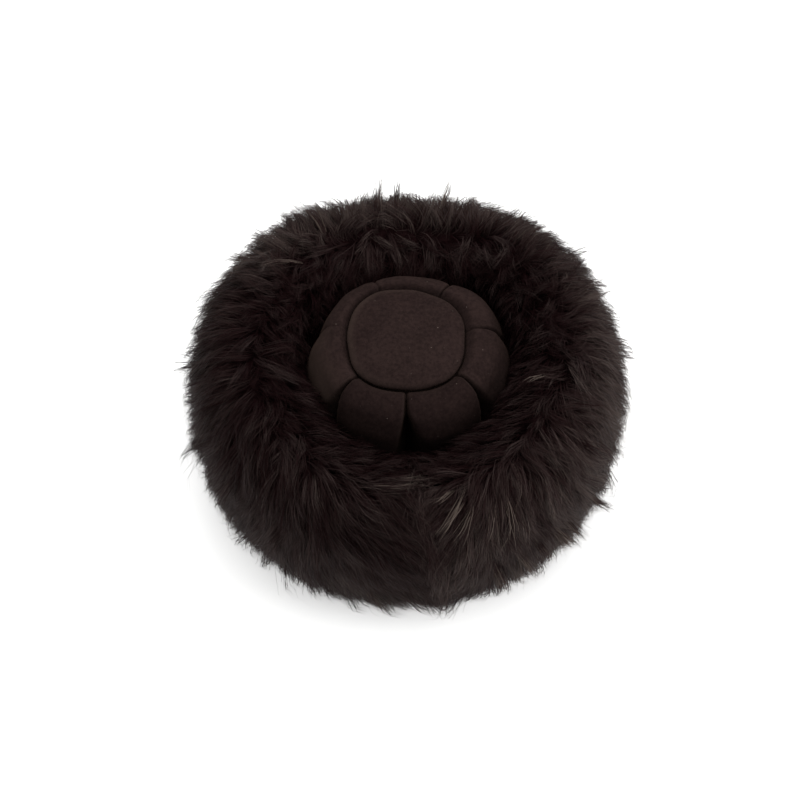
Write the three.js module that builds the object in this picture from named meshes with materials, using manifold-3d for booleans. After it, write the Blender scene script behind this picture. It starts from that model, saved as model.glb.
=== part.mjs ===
// A cossack hat: a soft suede crown of seven puffed gores round a top disc, set into a deep
// band of long fur. Millimetres, +Z up. The hat stands on its band, and its front faces -Y.
// Azimuths are degrees about +Z from the front, rising towards +X.

import * as THREE from "three";
import { mergeVertices } from "three/addons/utils/BufferGeometryUtils.js";
import Module from "manifold-3d";

const wasm = await Module();
wasm.setup();

// Driving dimensions of the crown
const HEAD_RADIUS = 94; // outside of the suede where the head goes in
const SUEDE = 3; // thickness of the suede with its short fleece
const DISC_RADIUS = 36.2; // on the hat's front, right, back and left
const DISC_CORNERS = 0.07; // how much further the disc reaches between those, as a share
const DISC_FLAT = { at: 150, width: 22, depth: 0.07 }; // the azimuth where a corner is cut back
const DISC_THICKNESS = 2.5;
const DISC_HEIGHT = 123; // of the disc's edge above the floor
const SEAM_ALLOWANCE = 5; // of each gore, turned in under the disc's edge
const TUCK_DEPTH = 4.5; // of that allowance below the disc's edge
const SEWN_GAP = 0.3; // between two pieces that are sewn together

// Driving dimensions of the band
const CROWN_CLEARANCE = 0.4; // between the suede and the back of the fur
const BAND_OVERLAP = 10; // that the uncut fur reaches into the crown at the floor
const FRONT_PARTING = 7; // azimuth where the two ends of the band meet
const PARTING_SPREAD = [4, 68]; // degrees from that seam where the hair's sweep to it fades

// Mesh fineness
const GORE_COLUMNS = 8;
const GORE_ROWS = 11;
const ROW_CROWDING = 1.5; // power that draws the rows together at the disc
const DISC_COLUMNS = 28;
const DISC_ROWS = 5;
const BAND_COLUMNS = 40;
const BAND_ROWS = 15;
const LOCK_SIDES = 4;
const LOCK_STEPS = 2;
const FLOOR_SIZE = 400; // of the block below the floor that the fur is cut off by

// The gores, from the front seam round to the right: where each one's first seam is, how deep
// that seam's crease is, how far the crease reaches into the gore before and into this one
// where it is widest, and how far the gore's shoulder reaches from the hat's axis.
const GORES = [
  { name: "front_right", seam: 0, crease: 26, before: 7, after: 18, reach: 67 },
  { name: "right", seam: 51, crease: 12, before: 7, after: 9, reach: 66 },
  { name: "back_right", seam: 99, crease: 8, before: 5, after: 5, reach: 64 },
  { name: "back", seam: 146, crease: 6, before: 4, after: 4, reach: 53 },
  { name: "back_left", seam: 205, crease: 4, before: 3, after: 3, reach: 56 },
  { name: "left", seam: 259, crease: 4, before: 3, after: 3, reach: 63 },
  { name: "front_left", seam: 312, crease: 12, before: 9, after: 7, reach: 66 },
];
const TIGHT_SEAM = 1.6; // how far from a seam its crease starts by the disc
const CREASE_POWER = 1.1; // 1 for a straight-sided crease
const ROUNDNESS = 3.5; // of each gore: how far its sides lie below its middle

// Where along a gore, from 0 under the disc to 1 at the hem, its seams sink in, open and end.
const SEAM_SINKS = [0.02, 0.34];
const SEAM_OPENS = [0.12, 0.42];
const SEAM_ENDS = [0.42, 0.66];
const FLAT_BEHIND_FUR = 0.9; // share of its depth that a seam loses there

// The crown's section outside the disc. across: 0 at the disc's edge, 1 at the gore's reach and
// 2 at the head's radius.
const CROWN_SECTION = [
  { name: "lift", across: 0.1, z: 122.6 },
  { name: "puff", across: 0.3, z: 126.2 },
  { name: "crest", across: 0.7, z: 122 },
  { name: "shoulder", across: 0.97, z: 109 },
  { name: "drop", across: 1.1, z: 95 },
  { name: "slope", across: 1.5, z: 74 },
  { name: "turn", across: 1.91, z: 44 },
  { name: "side", across: 2, z: 22 },
  { name: "hem", across: 2, z: 2 },
];

// The disc's section, with r as a share of its radius and rise above its edge.
const DISC_SECTION = [
  { name: "middle", r: 0, rise: 7 },
  { name: "dome", r: 0.45, rise: 6.5 },
  { name: "fall", r: 0.8, rise: 4.8 },
  { name: "roll", r: 0.96, rise: 2.5 },
  { name: "rim", r: 1, rise: -0.5 },
];

// Section through the dense fur, from its lip against the crown over the ridge to the hem.
// follows, opens, rises and spreads: each point's share of the changes round the hat below.
const FUR_SECTION = [
  { name: "lip", r: 67, z: 98, follows: 1, opens: 0, rises: 0.6, spreads: 0 },
  { name: "inner_roll", r: 73, z: 114, follows: 0.9, opens: 0.7, rises: 0.8, spreads: 0 },
  { name: "inner_top", r: 83, z: 126, follows: 0.6, opens: 1, rises: 1, spreads: 0.1 },
  { name: "ridge", r: 96, z: 132, follows: 0.3, opens: 0.6, rises: 1, spreads: 0.4 },
  { name: "outer_top", r: 110, z: 129, follows: 0.1, opens: 0.2, rises: 0.9, spreads: 0.8 },
  { name: "shoulder", r: 122, z: 115, follows: 0, opens: 0, rises: 0.6, spreads: 1 },
  { name: "upper_side", r: 130, z: 92, follows: 0, opens: 0, rises: 0.2, spreads: 1 },
  { name: "side", r: 133, z: 62, follows: 0, opens: 0, rises: 0, spreads: 1 },
  { name: "lower_side", r: 131, z: 30, follows: 0, opens: 0, rises: 0, spreads: 1 },
  { name: "hem", r: 124, z: 7, follows: 0, opens: 0, rises: 0, spreads: 1 },
];
const FOOT_WIDTH = 8; // from the hem's point inwards to where the fur lies on the floor
const SECTION_REACH = 66; // crown reach that the section is drawn for

// How the fur's section changes round the hat, at even azimuths from the front: its inner side
// opens, its top rises and its outside spreads by so many millimetres.
const FUR_ROUND = [
  { at: "front", opens: 6, rises: -9, spreads: 2 },
  { at: "front_right", opens: 2, rises: -5, spreads: 5 },
  { at: "right", opens: 0, rises: 0, spreads: 4 },
  { at: "back_right", opens: 0, rises: -2, spreads: 1 },
  { at: "back", opens: 0, rises: -6, spreads: -9 },
  { at: "back_left", opens: 0, rises: -2, spreads: 0 },
  { at: "left", opens: 0, rises: 0, spreads: 3 },
  { at: "front_left", opens: 2, rises: -5, spreads: 5 },
];

// Rows of locks. at: where they root along the section, 0 at the lip and 1 at the hem. along:
// which way they run, -1 down into the crown and 1 down the outside. rise: of the tip.
const LOCK_ROWS = [
  { at: 0.12, count: 12, length: 24, width: 28, along: -1, rise: 3 },
  { at: 0.22, count: 14, length: 30, width: 32, along: -1, rise: 6 },
  { at: 0.3, count: 15, length: 24, width: 33, along: 0.6, rise: 8 },
  { at: 0.38, count: 16, length: 38, width: 37, along: 1, rise: 7 },
  { at: 0.51, count: 17, length: 42, width: 39, along: 1, rise: 7 },
  { at: 0.66, count: 18, length: 44, width: 40, along: 1, rise: 7 },
  { at: 0.81, count: 18, length: 40, width: 40, along: 1, rise: 6 },
];
const LOCK_THICKNESS = 0.3; // of its width
const LOCK_SINK = 3; // of its root under the surface
const LOCK_BELLY = [0.85, 1.5]; // how full a lock is at its root, and how much fuller at its tip
const LOCK_SWEEP = 0.8; // share of the hair's sideways sweep that the outer locks follow

// How much the locks of a row differ. step: of their spacing, and the rest as shares.
const LOCK_JITTER = { step: 0.2, root: 0.02, length: 0.16, width: 0.1, rise: 0.3, aside: 0.2 };

const radians = THREE.MathUtils.degToRad;
const lerp = THREE.MathUtils.lerp;

// Repeatable noise between -1 and 1 for the locks.
const random = THREE.MathUtils.seededRandom;
random(41);
const jitter = (size) => size * (2 * random() - 1);

// A point at a radius, azimuth and height.
function polar(r, azimuth, z) {
  const a = radians(azimuth);
  return new THREE.Vector3(r * Math.sin(a), -r * Math.cos(a), z);
}

// The gore at an azimuth, with u running from -1 at its first seam to 1 at its second.
function goreAt(azimuth) {
  const turn = ((azimuth % 360) + 360) % 360;
  let index = GORES.length - 1;
  while (GORES[index].seam > turn) index -= 1;
  const [from, to] = goreSpan(index);
  return { index, u: (2 * (turn - from)) / (to - from) - 1 };
}

function goreSpan(index) {
  const next = GORES[index + 1];
  return [GORES[index].seam, next ? next.seam : 360];
}

// Share of a gore's width at s, from -1 to 1. Columns crowd at the seams, where it turns in.
const acrossGore = (s) => (Math.sin((s * Math.PI) / 2) + 1) / 2;

// How far the crown's shoulder reaches in the middle of a gore, easing to its neighbours' mean
// at the seams.
function reachOf(index, u) {
  const side = GORES[(index + Math.sign(u) + GORES.length) % GORES.length].reach;
  const mean = (GORES[index].reach + side) / 2;
  return lerp(mean, GORES[index].reach, Math.cos((u * Math.PI) / 2));
}

// How far the disc reaches at an azimuth, as a share of its radius. It is cut a little square.
function discShare(azimuth) {
  const corners = (DISC_CORNERS * (1 - Math.cos(4 * radians(azimuth)))) / 2;
  const away = (azimuth - DISC_FLAT.at) / DISC_FLAT.width;
  return 1 + corners - DISC_FLAT.depth * Math.exp(-(away ** 2));
}

// The crown's section, from under the disc's edge over the shoulder and down to the hem.
function crownSection(reach, azimuth) {
  const edge = DISC_RADIUS * discShare(azimuth);
  const radii = [edge, reach, HEAD_RADIUS];
  const tuck = DISC_HEIGHT - TUCK_DEPTH;
  return new THREE.SplineCurve([
    new THREE.Vector2(edge - SEAM_ALLOWANCE, tuck),
    new THREE.Vector2(edge, tuck),
    ...CROWN_SECTION.map(({ across, z }) => {
      const stretch = Math.min(Math.floor(across), 1);
      return new THREE.Vector2(lerp(radii[stretch], radii[stretch + 1], across - stretch), z);
    }),
  ]);
}

// A point of a section, moved out square to it.
function offsetPoint(curve, v, out) {
  const tangent = curve.getTangentAt(v);
  const point = curve.getPointAt(v);
  return new THREE.Vector2(point.x - tangent.y * out, point.y + tangent.x * out);
}

// How far the suede lies under the main form, so far away from a seam, at a place v of the
// section and u across the gore: nothing under the disc, deepest at the shoulder, and nearly
// nothing where the suede lies flat behind the fur. A seam is a tight line by the disc, and
// opens out below it.
function depthUnder(v, u, away, crease, reach) {
  const rise = THREE.MathUtils.smoothstep(v, ...SEAM_SINKS);
  const fall = 1 - FLAT_BEHIND_FUR * THREE.MathUtils.smoothstep(v, ...SEAM_ENDS);
  const wide = lerp(TIGHT_SEAM, reach, THREE.MathUtils.smoothstep(v, ...SEAM_OPENS));
  const fold = crease * Math.max(1 - away / wide, 0) ** CREASE_POWER;
  return rise * fall * (ROUNDNESS * Math.abs(u) ** 3 + fold);
}

// One gore: a grid wall bent from a box, with u across it, v down it and w through it.
function goreGeometry(index) {
  const [from, to] = goreSpan(index);
  const own = GORES[index];
  const next = GORES[(index + 1) % GORES.length];
  const box = new THREE.BoxGeometry(2, 1, 1, GORE_COLUMNS, GORE_ROWS, 1);
  const place = box.getAttribute("position");
  for (let i = 0; i < place.count; i += 1) {
    const across = acrossGore(place.getX(i));
    const u = 2 * across - 1;
    const v = (0.5 - place.getY(i)) ** ROW_CROWDING;
    const w = 0.5 - place.getZ(i);
    const section = crownSection(reachOf(index, u), lerp(from, to, across));
    const width = radians(to - from) * section.getPointAt(v).x;
    const away = Math.min(across, 1 - across) * width;
    const [crease, reach] = u < 0 ? [own.crease, own.after] : [next.crease, next.before];
    const depth = depthUnder(v, u, away, crease, reach);
    const at = offsetPoint(section, v, -depth - w * SUEDE);
    const halfGap = THREE.MathUtils.radToDeg(SEWN_GAP / 2 / at.x);
    const azimuth = lerp(from + halfGap, to - halfGap, across);
    place.setXYZ(i, ...polar(at.x, azimuth, at.y));
  }
  return box;
}

// Azimuths all round, evenly spaced.
const evenly = (count) => Array.from({ length: count }, (_, i) => (360 * i) / count);

// A body of revolution whose section changes with the azimuth. The section is a list of
// Vector2 (radius, height) that closes on itself or ends on the axis at both ends.
function revolved(azimuths, sectionAt) {
  const lathe = new THREE.LatheGeometry(sectionAt(0), azimuths.length);
  const place = lathe.getAttribute("position");
  const rows = place.count / (azimuths.length + 1);
  [...azimuths, azimuths[0]].forEach((azimuth, column) => {
    sectionAt(azimuth).forEach((at, row) => {
      place.setXYZ(column * rows + row, ...polar(at.x, azimuth, at.y));
    });
  });
  return lathe;
}

// The crown's top disc: a shallow dome whose rim turns down into the gores.
function discGeometry() {
  const curve = new THREE.SplineCurve(
    DISC_SECTION.map(({ r, rise }) => new THREE.Vector2(r * DISC_RADIUS, DISC_HEIGHT + rise)),
  );
  const top = curve.getSpacedPoints(DISC_ROWS);
  const under = top.map((p) => new THREE.Vector2(p.x, p.y - DISC_THICKNESS));
  const section = [...under, ...top.reverse()];
  return revolved(evenly(DISC_COLUMNS), (azimuth) => {
    const share = new THREE.Vector2(discShare(azimuth), 1);
    return section.map((point) => point.clone().multiply(share));
  });
}

// A geometry as a solid, with only its positions kept so that shared vertices merge.
function solidOf(geometry) {
  const bare = new THREE.BufferGeometry();
  bare.setAttribute("position", geometry.getAttribute("position"));
  bare.setIndex(geometry.getIndex());
  const merged = mergeVertices(bare, 1e-3);
  const corners = merged.getIndex().array;
  const kept = [];
  for (let i = 0; i < corners.length; i += 3) {
    const [a, b, c] = corners.slice(i, i + 3);
    if (a !== b && b !== c && c !== a) kept.push(a, b, c);
  }
  return new wasm.Manifold(
    new wasm.Mesh({
      numProp: 3,
      vertProperties: new Float32Array(merged.getAttribute("position").array),
      triVerts: new Uint32Array(kept),
    }),
  );
}

function geometryOf(solid) {
  const mesh = solid.getMesh();
  const geometry = new THREE.BufferGeometry();
  const vertices = new THREE.BufferAttribute(mesh.vertProperties, mesh.numProp);
  geometry.setAttribute("position", vertices);
  geometry.setIndex(new THREE.BufferAttribute(mesh.triVerts, 1));
  geometry.computeVertexNormals();
  return geometry;
}

// The changes of the fur's section at an azimuth.
const furRound = new THREE.CatmullRomCurve3(
  FUR_ROUND.map((row) => new THREE.Vector3(row.opens, row.rises, row.spreads)),
  true,
);

// The fur's section at an azimuth as a curve, from the lip to the hem.
function furSection(azimuth) {
  const { index, u } = goreAt(azimuth);
  const shift = reachOf(index, u) - SECTION_REACH;
  const change = furRound.getPoint(THREE.MathUtils.euclideanModulo(azimuth / 360, 1));
  return new THREE.SplineCurve(
    FUR_SECTION.map((p) => {
      const r = p.r + p.follows * shift + p.opens * change.x + p.spreads * change.z;
      return new THREE.Vector2(r, p.z + p.rises * change.y);
    }),
  );
}

// The dense fur round the hat. Its inner side lies inside the crown, and is cut back later.
function furMass() {
  return revolved(evenly(BAND_COLUMNS), (azimuth) => {
    const outer = furSection(azimuth).getSpacedPoints(BAND_ROWS);
    const hem = outer[outer.length - 1];
    const foot = new THREE.Vector2(hem.x - FOOT_WIDTH, 0);
    const inside = new THREE.Vector2(HEAD_RADIUS - BAND_OVERLAP, 0);
    return [inside, foot, ...outer.reverse(), inside];
  });
}

// Everything inside the crown's suede, grown by the clearance, without its creases.
function crownSpace() {
  const columns = GORES.flatMap((_, index) =>
    Array.from({ length: GORE_COLUMNS }, (_, i) =>
      lerp(...goreSpan(index), acrossGore((2 * i) / GORE_COLUMNS - 1)),
    ),
  );
  return revolved(columns, (azimuth) => {
    const { index, u } = goreAt(azimuth);
    const section = crownSection(reachOf(index, u), azimuth);
    const rows = Array.from({ length: GORE_ROWS + 1 }, (_, row) =>
      offsetPoint(section, (1 - row / GORE_ROWS) ** ROW_CROWDING, CROWN_CLEARANCE),
    );
    const below = new THREE.Vector2(HEAD_RADIUS + CROWN_CLEARANCE, -1);
    const top = new THREE.Vector2(0, DISC_HEIGHT);
    return [new THREE.Vector2(0, -1), below, ...rows, top];
  });
}

// How strongly the hair at an azimuth sweeps sideways towards the front seam, from -1 to 1.
function sweepAt(azimuth) {
  const away = THREE.MathUtils.euclideanModulo(azimuth - FRONT_PARTING + 180, 360) - 180;
  const share = 1 - THREE.MathUtils.smoothstep(Math.abs(away), ...PARTING_SPREAD);
  return -Math.sign(away) * share;
}

// A point of the fur's surface, raised square to it. The place runs past 0 and 1 in a line.
function furPoint(place, azimuth, rise) {
  const curve = furSection(azimuth);
  const v = THREE.MathUtils.clamp(place, 0, 1);
  const tangent = curve.getTangentAt(v);
  const past = (place - v) * curve.getLength();
  const at = offsetPoint(curve, v, rise).addScaledVector(tangent, past);
  return polar(at.x, azimuth, at.y);
}

// One lock: a flattened, tapering tuft that is rooted in the fur, follows its surface and
// rises off it to a point.
function lockSolid(row, azimuth) {
  const curve = furSection(azimuth);
  const span = curve.getLength();
  const root = row.at + jitter(LOCK_JITTER.root);
  const across = curve.getPointAt(root).x;
  const length = row.length * (1 + jitter(LOCK_JITTER.length));
  const width = row.width * (1 + jitter(LOCK_JITTER.width));
  const rise = row.rise * (1 + jitter(LOCK_JITTER.rise));
  const follows = row.along > 0 ? LOCK_SWEEP : 0;
  const sweep = follows * sweepAt(azimuth) + jitter(LOCK_JITTER.aside);
  const cone = new THREE.ConeGeometry(1, 1, LOCK_SIDES, LOCK_STEPS);
  const place = cone.getAttribute("position");
  for (let i = 0; i < place.count; i += 1) {
    const t = place.getY(i) + 0.5;
    const fullness = LOCK_BELLY[0] + LOCK_BELLY[1] * t;
    const aside = sweep * t * length + (place.getX(i) * fullness * width) / 2;
    const turn = THREE.MathUtils.radToDeg(aside / across);
    const lift = lerp(-LOCK_SINK, rise, t);
    const thick = (place.getZ(i) * fullness * width * LOCK_THICKNESS) / 2;
    const at = root + (row.along * t * length) / span;
    place.setXYZ(i, ...furPoint(at, azimuth + turn, lift - Math.sign(row.along) * thick));
  }
  return solidOf(cone);
}

// The fur band: dense fur with its locks fused on, cut to the crown and flat on the floor.
function bandGeometry() {
  const locks = LOCK_ROWS.flatMap((row, tier) =>
    Array.from({ length: row.count }, (_, i) => {
      const step = 360 / row.count;
      return lockSolid(row, (i + (tier % 2) / 2) * step + jitter(LOCK_JITTER.step * step));
    }),
  );
  const floor = new THREE.BoxGeometry(FLOOR_SIZE, FLOOR_SIZE, FLOOR_SIZE);
  floor.translate(0, 0, -FLOOR_SIZE / 2);
  const fur = wasm.Manifold.union([solidOf(furMass()), ...locks])
    .subtract(solidOf(crownSpace()))
    .subtract(solidOf(floor));
  const [largest] = fur.decompose().sort((a, b) => b.volume() - a.volume());
  return geometryOf(largest);
}

// Flat colours of the two materials
const SUEDE_FINISH = { color: 0x332b29, roughness: 0.95, metalness: 0 };
const FUR_FINISH = { color: 0x1d1616, roughness: 0.75, metalness: 0 };

function meshOf(name, geometry, finish) {
  const mesh = new THREE.Mesh(geometry, new THREE.MeshStandardMaterial(finish));
  mesh.name = name;
  return mesh;
}

const hat = new THREE.Group();
hat.add(meshOf("crown_disc", discGeometry(), SUEDE_FINISH));
GORES.forEach((gore, index) => {
  hat.add(meshOf(`crown_gore_${gore.name}`, goreGeometry(index), SUEDE_FINISH));
});
hat.add(meshOf("fur_band", bandGeometry(), FUR_FINISH));

// The fur is fuller in front, so the crown stands a little behind the middle of the whole.
const middle = new THREE.Box3().setFromObject(hat).getCenter(new THREE.Vector3());
hat.position.set(-middle.x, -middle.y, 0);

export default hat;
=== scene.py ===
"""Looks of the cossack hat: a crown of brushed suede set into a deep band of long fur.

Tables and fields are in millimetres, and the meshes in metres, +Z up. Azimuths are degrees
about +Z from the front, rising towards +X. Places on the fur run from 0 at its lip against
the crown, over the ridge, to 1 at its hem. Places down the crown run from 0 under its disc
to 1 at its hem.
"""

import logging
import math
from collections.abc import Sequence
from dataclasses import dataclass
from enum import Enum
from typing import NamedTuple

import bmesh
import bpy
import numpy as np
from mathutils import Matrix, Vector, noise


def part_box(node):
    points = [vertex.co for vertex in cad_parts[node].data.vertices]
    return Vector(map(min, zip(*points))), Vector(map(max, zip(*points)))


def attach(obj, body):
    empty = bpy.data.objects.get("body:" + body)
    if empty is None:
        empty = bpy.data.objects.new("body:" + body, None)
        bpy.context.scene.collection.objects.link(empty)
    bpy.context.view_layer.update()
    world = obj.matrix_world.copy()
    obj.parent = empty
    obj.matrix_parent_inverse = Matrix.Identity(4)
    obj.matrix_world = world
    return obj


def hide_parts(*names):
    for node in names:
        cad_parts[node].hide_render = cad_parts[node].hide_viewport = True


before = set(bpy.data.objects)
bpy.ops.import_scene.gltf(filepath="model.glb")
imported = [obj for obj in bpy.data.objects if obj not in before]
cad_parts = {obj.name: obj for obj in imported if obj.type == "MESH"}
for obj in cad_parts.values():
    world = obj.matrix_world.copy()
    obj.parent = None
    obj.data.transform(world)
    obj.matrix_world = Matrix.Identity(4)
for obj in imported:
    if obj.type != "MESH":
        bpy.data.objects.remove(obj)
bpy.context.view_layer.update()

MM = 0.001
Span = tuple[float, float]
Array = np.ndarray
Columns = dict[str, np.ndarray]
Socket = bpy.types.NodeSocket
log = logging.getLogger("hat")


class Gore(NamedTuple):
    """A gore of the crown, from its first seam to the next gore's.

    crease: how deep the first seam's crease is. before, after: how far it reaches into the
    gore before and into this one. reach: how far the shoulder is from the axis. shows: how
    clearly the seam shows, from 0 to 1. wear_and_light: how much painted light pales the gore
    all over. low: how much painted shade darkens the front gores where they dip behind the fur.
    """

    name: str
    seam: float
    crease: float
    before: float
    after: float
    reach: float
    shows: float
    wear_and_light: float
    low: float


class CrownPoint(NamedTuple):
    """A point of the crown's section: 0 at the disc, 1 at the reach, 2 at the head's radius."""

    across: float
    z: float


class FurPoint(NamedTuple):
    """A point of the fur's section, and its share of each change round the hat."""

    r: float
    z: float
    follows: float
    opens: float
    rises: float
    spreads: float


class FurChange(NamedTuple):
    """How far the fur's inner side opens, its top rises and its outside spreads."""

    opens: float
    rises: float
    spreads: float


class Coat(NamedTuple):
    """The hair that roots at one place, with its root's depth and its tip's height."""

    place: float
    length: float
    depth: float
    height: float
    tone: float


class Lie(NamedTuple):
    """How the hair lies at an azimuth, on the inner slope, over the top and down the side.

    Headings are degrees from straight out, positive towards rising azimuth. loose: how many
    degrees the hair of the inner slope strays from its heading. lift and hem: painted
    light that makes the hair paler under the ridge and at the hem, and painted shade where negative.
    """

    azimuth: float
    slope: float
    top: float
    side: float
    loose: float
    lift: float
    hem: float


class Tuft(NamedTuple):
    """A tuft that stands out of the coat, with its heading in degrees from straight out."""

    azimuth: float
    place: float
    heading: float
    length: float
    height: float
    tone: float
    hairs: int
    curl: float


def rows_of(kind: type, *rows: tuple) -> tuple:
    """Names the columns of a table's rows."""
    return tuple(kind(*row) for row in rows)


GORES = rows_of(
    Gore,
    # name, seam, crease, before, after, reach, shows, wear_and_light, low
    ("front_right", 0, 26, 7, 18, 67, 1, 0, 0.6),
    ("right", 51, 12, 7, 9, 66, 1, 0, 0),
    ("back_right", 99, 8, 5, 5, 64, 0.5, 0, 0),
    ("back", 146, 6, 4, 4, 53, 0.7, 0.15, 0),
    ("back_left", 205, 4, 3, 3, 56, 0.4, 0.3, 0),
    ("left", 259, 4, 3, 3, 63, 0.15, 0.8, 0),
    ("front_left", 312, 12, 9, 7, 66, 1, 0, 0.25),
)

CROWN_SECTION = rows_of(
    CrownPoint,
    # across, z
    (0.1, 122.6),
    (0.3, 126.2),
    (0.7, 122),
    (0.97, 109),
    (1.1, 95),
    (1.5, 74),
    (1.91, 44),
    (2, 22),
    (2, 2),
)

# From the lip against the crown, over the ridge and down to the hem.
FUR_SECTION = rows_of(
    FurPoint,
    # r, z, follows, opens, rises, spreads
    (67, 98, 1, 0, 0.6, 0),
    (73, 114, 0.9, 0.7, 0.8, 0),
    (83, 126, 0.6, 1, 1, 0.1),
    (96, 132, 0.3, 0.6, 1, 0.4),
    (110, 129, 0.1, 0.2, 0.9, 0.8),
    (122, 115, 0, 0, 0.6, 1),
    (130, 92, 0, 0, 0.2, 1),
    (133, 62, 0, 0, 0, 1),
    (131, 30, 0, 0, 0, 1),
    (124, 7, 0, 0, 0, 1),
)

# At even azimuths: the front, front right, right, back right, back and so on round.
FUR_ROUND = rows_of(
    FurChange,
    # opens, rises, spreads
    (6, -9, 2),
    (2, -5, 5),
    (0, 0, 4),
    (0, -2, 1),
    (0, -6, -9),
    (0, -2, 0),
    (0, 0, 3),
    (2, -5, 5),
)

# The tone column is painted shade and light: dark on the inner slope that the crown and the ridge shade,
# paler down the outside.
COAT = rows_of(
    Coat,
    # place, length, depth, height, tone
    (0.0, 14, 6, 2, 0.0),
    (0.1, 17, 7, 4, 0.02),
    (0.2, 22, 8, 6, 0.06),
    (0.25, 24, 9, 5, 0.14),
    (0.32, 32, 10, 7, 0.34),
    (0.45, 38, 11, 6.5, 0.45),
    (0.7, 42, 11, 5.5, 0.5),
    (0.88, 38, 10, 5.5, 0.5),
    (1.0, 26, 8, 4, 0.42),
)

# From the pelt's join at the front, round by the right and the back to the join again.
LIES = rows_of(
    Lie,
    # azimuth, slope, top, side, loose, lift, hem
    (7, -78, -48, -34, 8, -0.05, -0.2),
    (14, -88, -56, -26, 9, -0.04, -0.14),
    (20, -92, -40, -6, 10, 0.0, -0.05),
    (30, -96, -16, 12, 11, 0.02, 0.03),
    (50, -100, -10, 16, 14, 0.06, 0.08),
    (75, -105, -6, 12, 24, 0.28, 0.2),
    (100, -78, -4, 8, 28, 0.28, 0.2),
    (122, -58, -10, 0, 28, 0.22, 0.25),
    (144, -120, -12, -4, 32, 0.22, 0.3),
    (165, -160, -4, 0, 34, 0.46, 0.38),
    (180, 180, 0, 0, 34, 0.5, 0.38),
    (200, 150, 0, 0, 34, 0.52, 0.4),
    (225, 110, 10, -8, 34, 0.48, 0.4),
    (250, 95, 30, -5, 30, 0.06, 0.22),
    (270, 100, 22, -10, 26, -0.14, 0.05),
    (292, 112, 16, -16, 20, -0.2, -0.08),
    (312, 112, 26, -12, 14, -0.2, -0.1),
    (326, 106, 30, 2, 11, -0.2, -0.06),
    (340, 96, 46, 24, 9, -0.26, 0.0),
    (352, 88, 54, 40, 8, -0.32, 0.04),
    (367, 80, 52, 42, 8, -0.34, 0.04),
)
FRONT_PARTING = 7.0  # azimuth of the pelt's join
PARTING_SLANT = 10.0  # degrees that the join leans from the lip to the hem
PARTING_PLACE = 0.65  # where the leaning join crosses that azimuth
PARTING_REACH = 40.0  # degrees from the front over which the hair leans with it

TUFTS = rows_of(
    Tuft,
    # azimuth, place, heading, length, height, tone, hairs, curl
    (349, 0.26, 84, 34, 5, 0.70, 34, 8),
    (347, 0.28, 90, 36, 5, 0.70, 36, -4),
    (350, 0.3, 94, 26, 5, 0.66, 24, 0),
    (18, 0.34, -52, 29, 9, 0.82, 18, 10),
    (16, 0.31, -72, 16, 9, 0.78, 14, 0),
    (21, 0.36, -44, 32, 9, 0.78, 16, 14),
    (37, 0.3, -14, 30, 10, 0.66, 16, -45),
    (30, 0.39, -18, 36, 9, 0.75, 18, 8),
    (34, 0.42, -14, 36, 9, 0.75, 16, 8),
    (25, 0.39, -28, 34, 9, 0.75, 16, 8),
    (41, 0.4, -6, 38, 10, 0.75, 16, 8),
    (72, 0.22, -115, 15, 8, 0.55, 12, 0),
    (108, 0.12, -72, 22, 8, 0.25, 18, -20),
    (122, 0.13, -48, 29, 8, 0.25, 24, -25),
    (144, 0.21, -136, 23, 8, 0.30, 20, 60),
    (198, 0.19, 149, 21, 8, 0.30, 20, 30),
    (230, 0.23, 55, 31, 8, 0.70, 14, 10),
    (24, 0.73, 12, 33, 12, 0.60, 56, 0),
    (30, 0.66, 15, 33, 13, 0.60, 56, 0),
    (35, 0.65, 14, 28, 13, 0.60, 56, 0),
    (40, 0.65, 20, 28, 14, 0.60, 56, 5),
    (45, 0.66, 15, 31, 15, 0.60, 60, 8),
    (54, 0.66, 19, 32, 16, 0.60, 64, 14),
    (192, 0.28, -16, 32, 19, 0.55, 22, -10),
    (184, 0.3, -10, 28, 16, 0.55, 20, 0),
    (167, 0.3, -4, 28, 15, 0.55, 20, 10),
    (213, 0.28, 10, 30, 15, 0.55, 20, 0),
    (357, 0.78, 42, 44, 11, 0.55, 60, 0),
    (3, 0.82, 36, 40, 12, 0.55, 60, 0),
    (348, 0.78, 34, 40, 10, 0.60, 50, 0),
)


def linear(colour: str) -> tuple[float, float, float, float]:
    """Turns a hex sRGB colour to linear.

    Args:
        colour: Six hex digits after a hash.

    Returns:
        Red, green, blue and an alpha of 1.
    """
    parts = [int(colour[i : i + 2], 16) / 255 for i in (1, 3, 5)]
    light = [p / 12.92 if p <= 0.04045 else ((p + 0.055) / 1.055) ** 2.4 for p in parts]
    return (*light, 1.0)


def smoothstep(x: Array, low: float, high: float) -> Array:
    """Eases from 0 at low to 1 at high."""
    t = np.clip((x - low) / (high - low), 0, 1)
    return t * t * (3 - 2 * t)


def bell(x: Array, width: float) -> Array:
    """1 at 0, falling off to either side within about two widths."""
    return np.exp(-((x / width) ** 2))


def from_front(azimuth: Array) -> Array:
    """Degrees from the front, from -180 to 180."""
    return np.mod(azimuth + 180, 360) - 180


def waves(points: Array, size: float) -> Array:
    """Smooth noise at some points, with waves of a size."""
    return np.array([noise.noise(Vector(point) / size) for point in points])


def turned(axis: Sequence[float], radius: Array, height: Array, angle: Array) -> Array:
    """Points at a radius, a height and so many radians from the front about an axis (x, y)."""
    across, ahead = radius * np.sin(angle), radius * np.cos(angle)
    return np.stack([axis[0] + across, axis[1] - ahead, height], axis=-1)


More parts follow.
